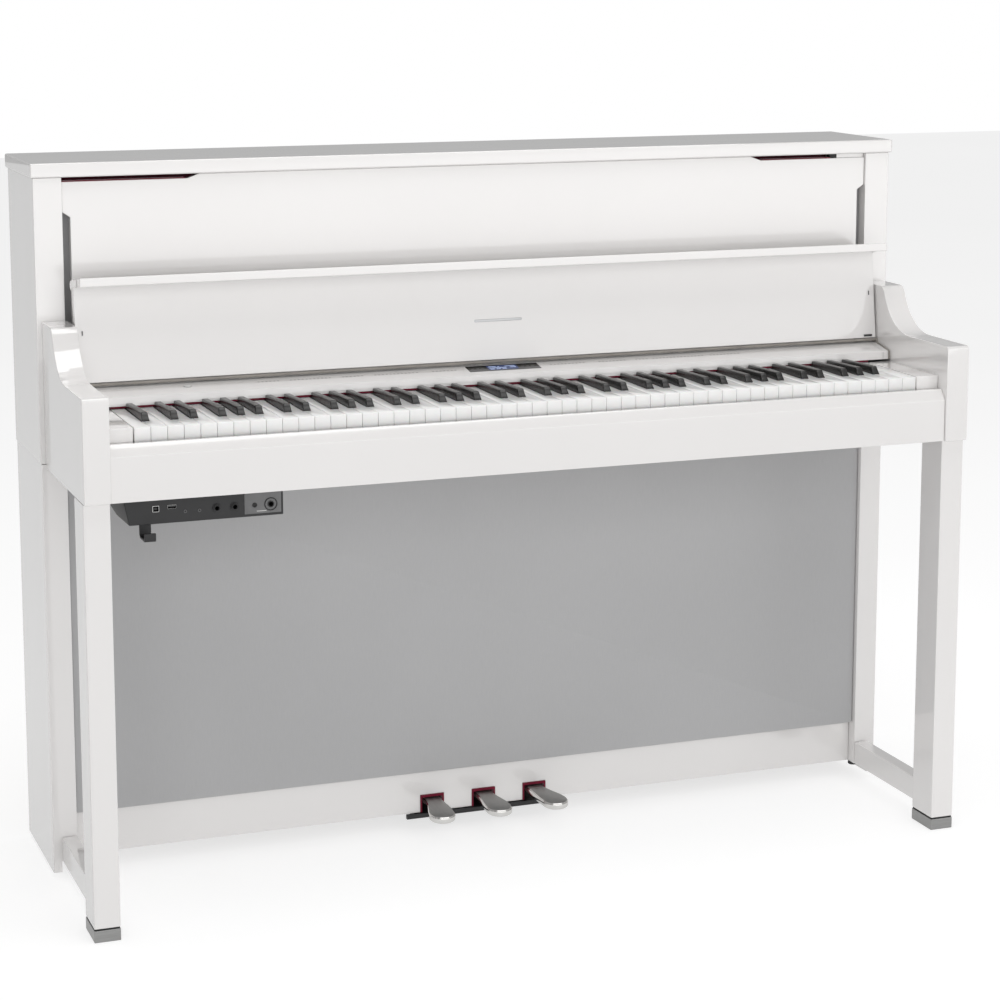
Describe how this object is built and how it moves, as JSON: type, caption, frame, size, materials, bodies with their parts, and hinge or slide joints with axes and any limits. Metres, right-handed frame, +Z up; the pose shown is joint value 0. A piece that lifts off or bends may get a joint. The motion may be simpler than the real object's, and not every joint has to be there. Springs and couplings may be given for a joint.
{
  "type": "upright piano",
  "caption": "White console piano with a two-fold key cover held open, sprung keys and pedals, a hinged top lid, grey speaker cloth front and straight front legs.",
  "frame": {"origin": "on the floor, under the middle of the case's width and depth", "axes": "+X to the player's right along the keyboard, +Y away from the player to the back, +Z up"},
  "size_m": [1.402, 0.488, 1.078],
  "materials": {
    "white_lacquer": "polished white lacquer",
    "key_white": "satin white, fine grain on top",
    "key_black": "matt black",
    "red_felt": "dark red felt",
    "speaker_cloth": "fine grey woven cloth",
    "black_plastic": "moulded black",
    "display_glass": "dark clear window",
    "pedal_metal": "plated, brushed top",
    "hinge_steel": "zinc plated",
    "foot_metal": "brushed",
    "back_board": "plain fibreboard",
    "circuit_board": "solder mask",
    "speaker_cone": "treated paper cone in a steel basket",
    "power_button_white": "light grey"
  },
  "bodies": {
    "case": {"upper_side_left": "white_lacquer", "upper_side_right": "white_lacquer", "lower_side_left": "white_lacquer", "lower_side_right": "white_lacquer", "lid_hinge": "hinge_steel", "upper_front_panel": "white_lacquer", "back_panel": "back_board", "power_inlet": "black_plastic", "cheek_left": "white_lacquer", "cheek_right": "white_lacquer", "key_block_left": "white_lacquer", "key_block_right": "white_lacquer", "keyslip": "white_lacquer", "keybed": "white_lacquer", "key_frame": "hinge_steel", "main_board": "circuit_board", "control_panel": "white_lacquer", "display_window": "display_glass", "nameboard_felt": "red_felt", "front_leg_left": "white_lacquer", "front_leg_right": "white_lacquer", "foot_cap_left": "foot_metal", "foot_cap_right": "foot_metal", "base_rail_left": "white_lacquer", "base_rail_right": "white_lacquer", "speaker_cloth_panel": "speaker_cloth", "speaker_baffle": "back_board", "woofer_left": "speaker_cone", "woofer_right": "speaker_cone", "kick_board": "white_lacquer", "pedal_box": "black_plastic", "jack_box": "black_plastic", "headphone_hook": "black_plastic", "fallboard_hinge": "hinge_steel", "naturals_bass": "key_white", "naturals_treble": "key_white", "sharps_bass": "key_black", "sharps_treble": "key_black"},
    "top_lid": {"top_lid": "white_lacquer"},
    "fallboard": {"fallboard": "white_lacquer"},
    "fallboard_flap": {"fallboard_flap": "white_lacquer", "flap_hinge_left": "hinge_steel", "flap_hinge_right": "hinge_steel"},
    "power_button": {"power_button": "power_button_white"},
    "key_c": {"key_c": "key_white"},
    "key_c_sharp": {"key_c_sharp": "key_black"},
    "key_d": {"key_d": "key_white"},
    "key_d_sharp": {"key_d_sharp": "key_black"},
    "key_e": {"key_e": "key_white"},
    "key_f": {"key_f": "key_white"},
    "key_f_sharp": {"key_f_sharp": "key_black"},
    "key_g": {"key_g": "key_white"},
    "key_g_sharp": {"key_g_sharp": "key_black"},
    "key_a": {"key_a": "key_white"},
    "key_a_sharp": {"key_a_sharp": "key_black"},
    "key_b": {"key_b": "key_white"},
    "pedal_soft": {"pedal_soft": "pedal_metal"},
    "pedal_sostenuto": {"pedal_sostenuto": "pedal_metal"},
    "pedal_damper": {"pedal_damper": "pedal_metal"}
  },
  "joints": [
    {"name": "lid_hinge", "type": "hinge", "parent": "case", "child": "top_lid", "pos_m": [0, 0.2422, 1.057], "axis": [-1, 0, 0], "range_deg": [0, 60]},
    {"name": "fallboard_hinge", "type": "hinge", "parent": "case", "child": "fallboard", "pos_m": [0, -0.0204, 0.76], "axis": [1, 0, 0], "range_deg": [0, 101]},
    {"name": "flap_hinge", "type": "hinge", "parent": "fallboard", "child": "fallboard_flap", "pos_m": [0, 0.00774, 0.90288], "axis": [-1, 0, 0], "range_deg": [0, 90]},
    {"name": "power_press", "type": "slide", "parent": "case", "child": "power_button", "axis": [0, 0.1809, -0.9835], "range_m": [0, 0.001], "stiffness_N_per_m": 400, "springref_m": -0.0004},
    {"name": "key_c_press", "type": "hinge", "parent": "case", "child": "key_c", "pos_m": [-0.05889, 0.01, 0.712], "axis": [1, 0, 0], "range_deg": [0, 2.5], "stiffness_Nm_per_rad": 6, "springref_deg": -1.72},
    {"name": "key_c_sharp_press", "type": "hinge", "parent": "case", "child": "key_c_sharp", "pos_m": [-0.04942, 0.01, 0.712], "axis": [1, 0, 0], "range_deg": [0, 2.5], "stiffness_Nm_per_rad": 6, "springref_deg": -1.72},
    {"name": "key_d_press", "type": "hinge", "parent": "case", "child": "key_d", "pos_m": [-0.03534, 0.01, 0.712], "axis": [1, 0, 0], "range_deg": [0, 2.5], "stiffness_Nm_per_rad": 6, "springref_deg": -1.72},
    {"name": "key_d_sharp_press", "type": "hinge", "parent": "case", "child": "key_d_sharp", "pos_m": [-0.02126, 0.01, 0.712], "axis": [1, 0, 0], "range_deg": [0, 2.5], "stiffness_Nm_per_rad": 6, "springref_deg": -1.72},
    {"name": "key_e_press", "type": "hinge", "parent": "case", "child": "key_e", "pos_m": [-0.01178, 0.01, 0.712], "axis": [1, 0, 0], "range_deg": [0, 2.5], "stiffness_Nm_per_rad": 6, "springref_deg": -1.72},
    {"name": "key_f_press", "type": "hinge", "parent": "case", "child": "key_f", "pos_m": [0.01178, 0.01, 0.712], "axis": [1, 0, 0], "range_deg": [0, 2.5], "stiffness_Nm_per_rad": 6, "springref_deg": -1.72},
    {"name": "key_f_sharp_press", "type": "hinge", "parent": "case", "child": "key_f_sharp", "pos_m": [0.02036, 0.01, 0.712], "axis": [1, 0, 0], "range_deg": [0, 2.5], "stiffness_Nm_per_rad": 6, "springref_deg": -1.72},
    {"name": "key_g_press", "type": "hinge", "parent": "case", "child": "key_g", "pos_m": [0.03534, 0.01, 0.712], "axis": [1, 0, 0], "range_deg": [0, 2.5], "stiffness_Nm_per_rad": 6, "springref_deg": -1.72},
    {"name": "key_g_sharp_press", "type": "hinge", "parent": "case", "child": "key_g_sharp", "pos_m": [0.04711, 0.01, 0.712], "axis": [1, 0, 0], "range_deg": [0, 2.5], "stiffness_Nm_per_rad": 6, "springref_deg": -1.72},
    {"name": "key_a_press", "type": "hinge", "parent": "case", "child": "key_a", "pos_m": [0.05889, 0.01, 0.712], "axis": [1, 0, 0], "range_deg": [0, 2.5], "stiffness_Nm_per_rad": 6, "springref_deg": -1.72},
    {"name": "key_a_sharp_press", "type": "hinge", "parent": "case", "child": "key_a_sharp", "pos_m": [0.07387, 0.01, 0.712], "axis": [1, 0, 0], "range_deg": [0, 2.5], "stiffness_Nm_per_rad": 6, "springref_deg": -1.72},
    {"name": "key_b_press", "type": "hinge", "parent": "case", "child": "key_b", "pos_m": [0.08245, 0.01, 0.712], "axis": [1, 0, 0], "range_deg": [0, 2.5], "stiffness_Nm_per_rad": 6, "springref_deg": -1.72},
    {"name": "pedal_soft_press", "type": "hinge", "parent": "case", "child": "pedal_soft", "pos_m": [-0.087, 0.12, 0.043], "axis": [1, 0, 0], "range_deg": [0, 6.5], "stiffness_Nm_per_rad": 25, "springref_deg": -3.44},
    {"name": "pedal_sostenuto_press", "type": "hinge", "parent": "case", "child": "pedal_sostenuto", "pos_m": [0, 0.12, 0.043], "axis": [1, 0, 0], "range_deg": [0, 6.5], "stiffness_Nm_per_rad": 25, "springref_deg": -3.44},
    {"name": "pedal_damper_press", "type": "hinge", "parent": "case", "child": "pedal_damper", "pos_m": [0.087, 0.12, 0.043], "axis": [1, 0, 0], "range_deg": [0, 6.5], "stiffness_Nm_per_rad": 25, "springref_deg": -3.44}
  ],
  "couplings": [
    {"joint": "flap_hinge", "follows": "fallboard_hinge", "ratio": 0.89109}
  ]
}
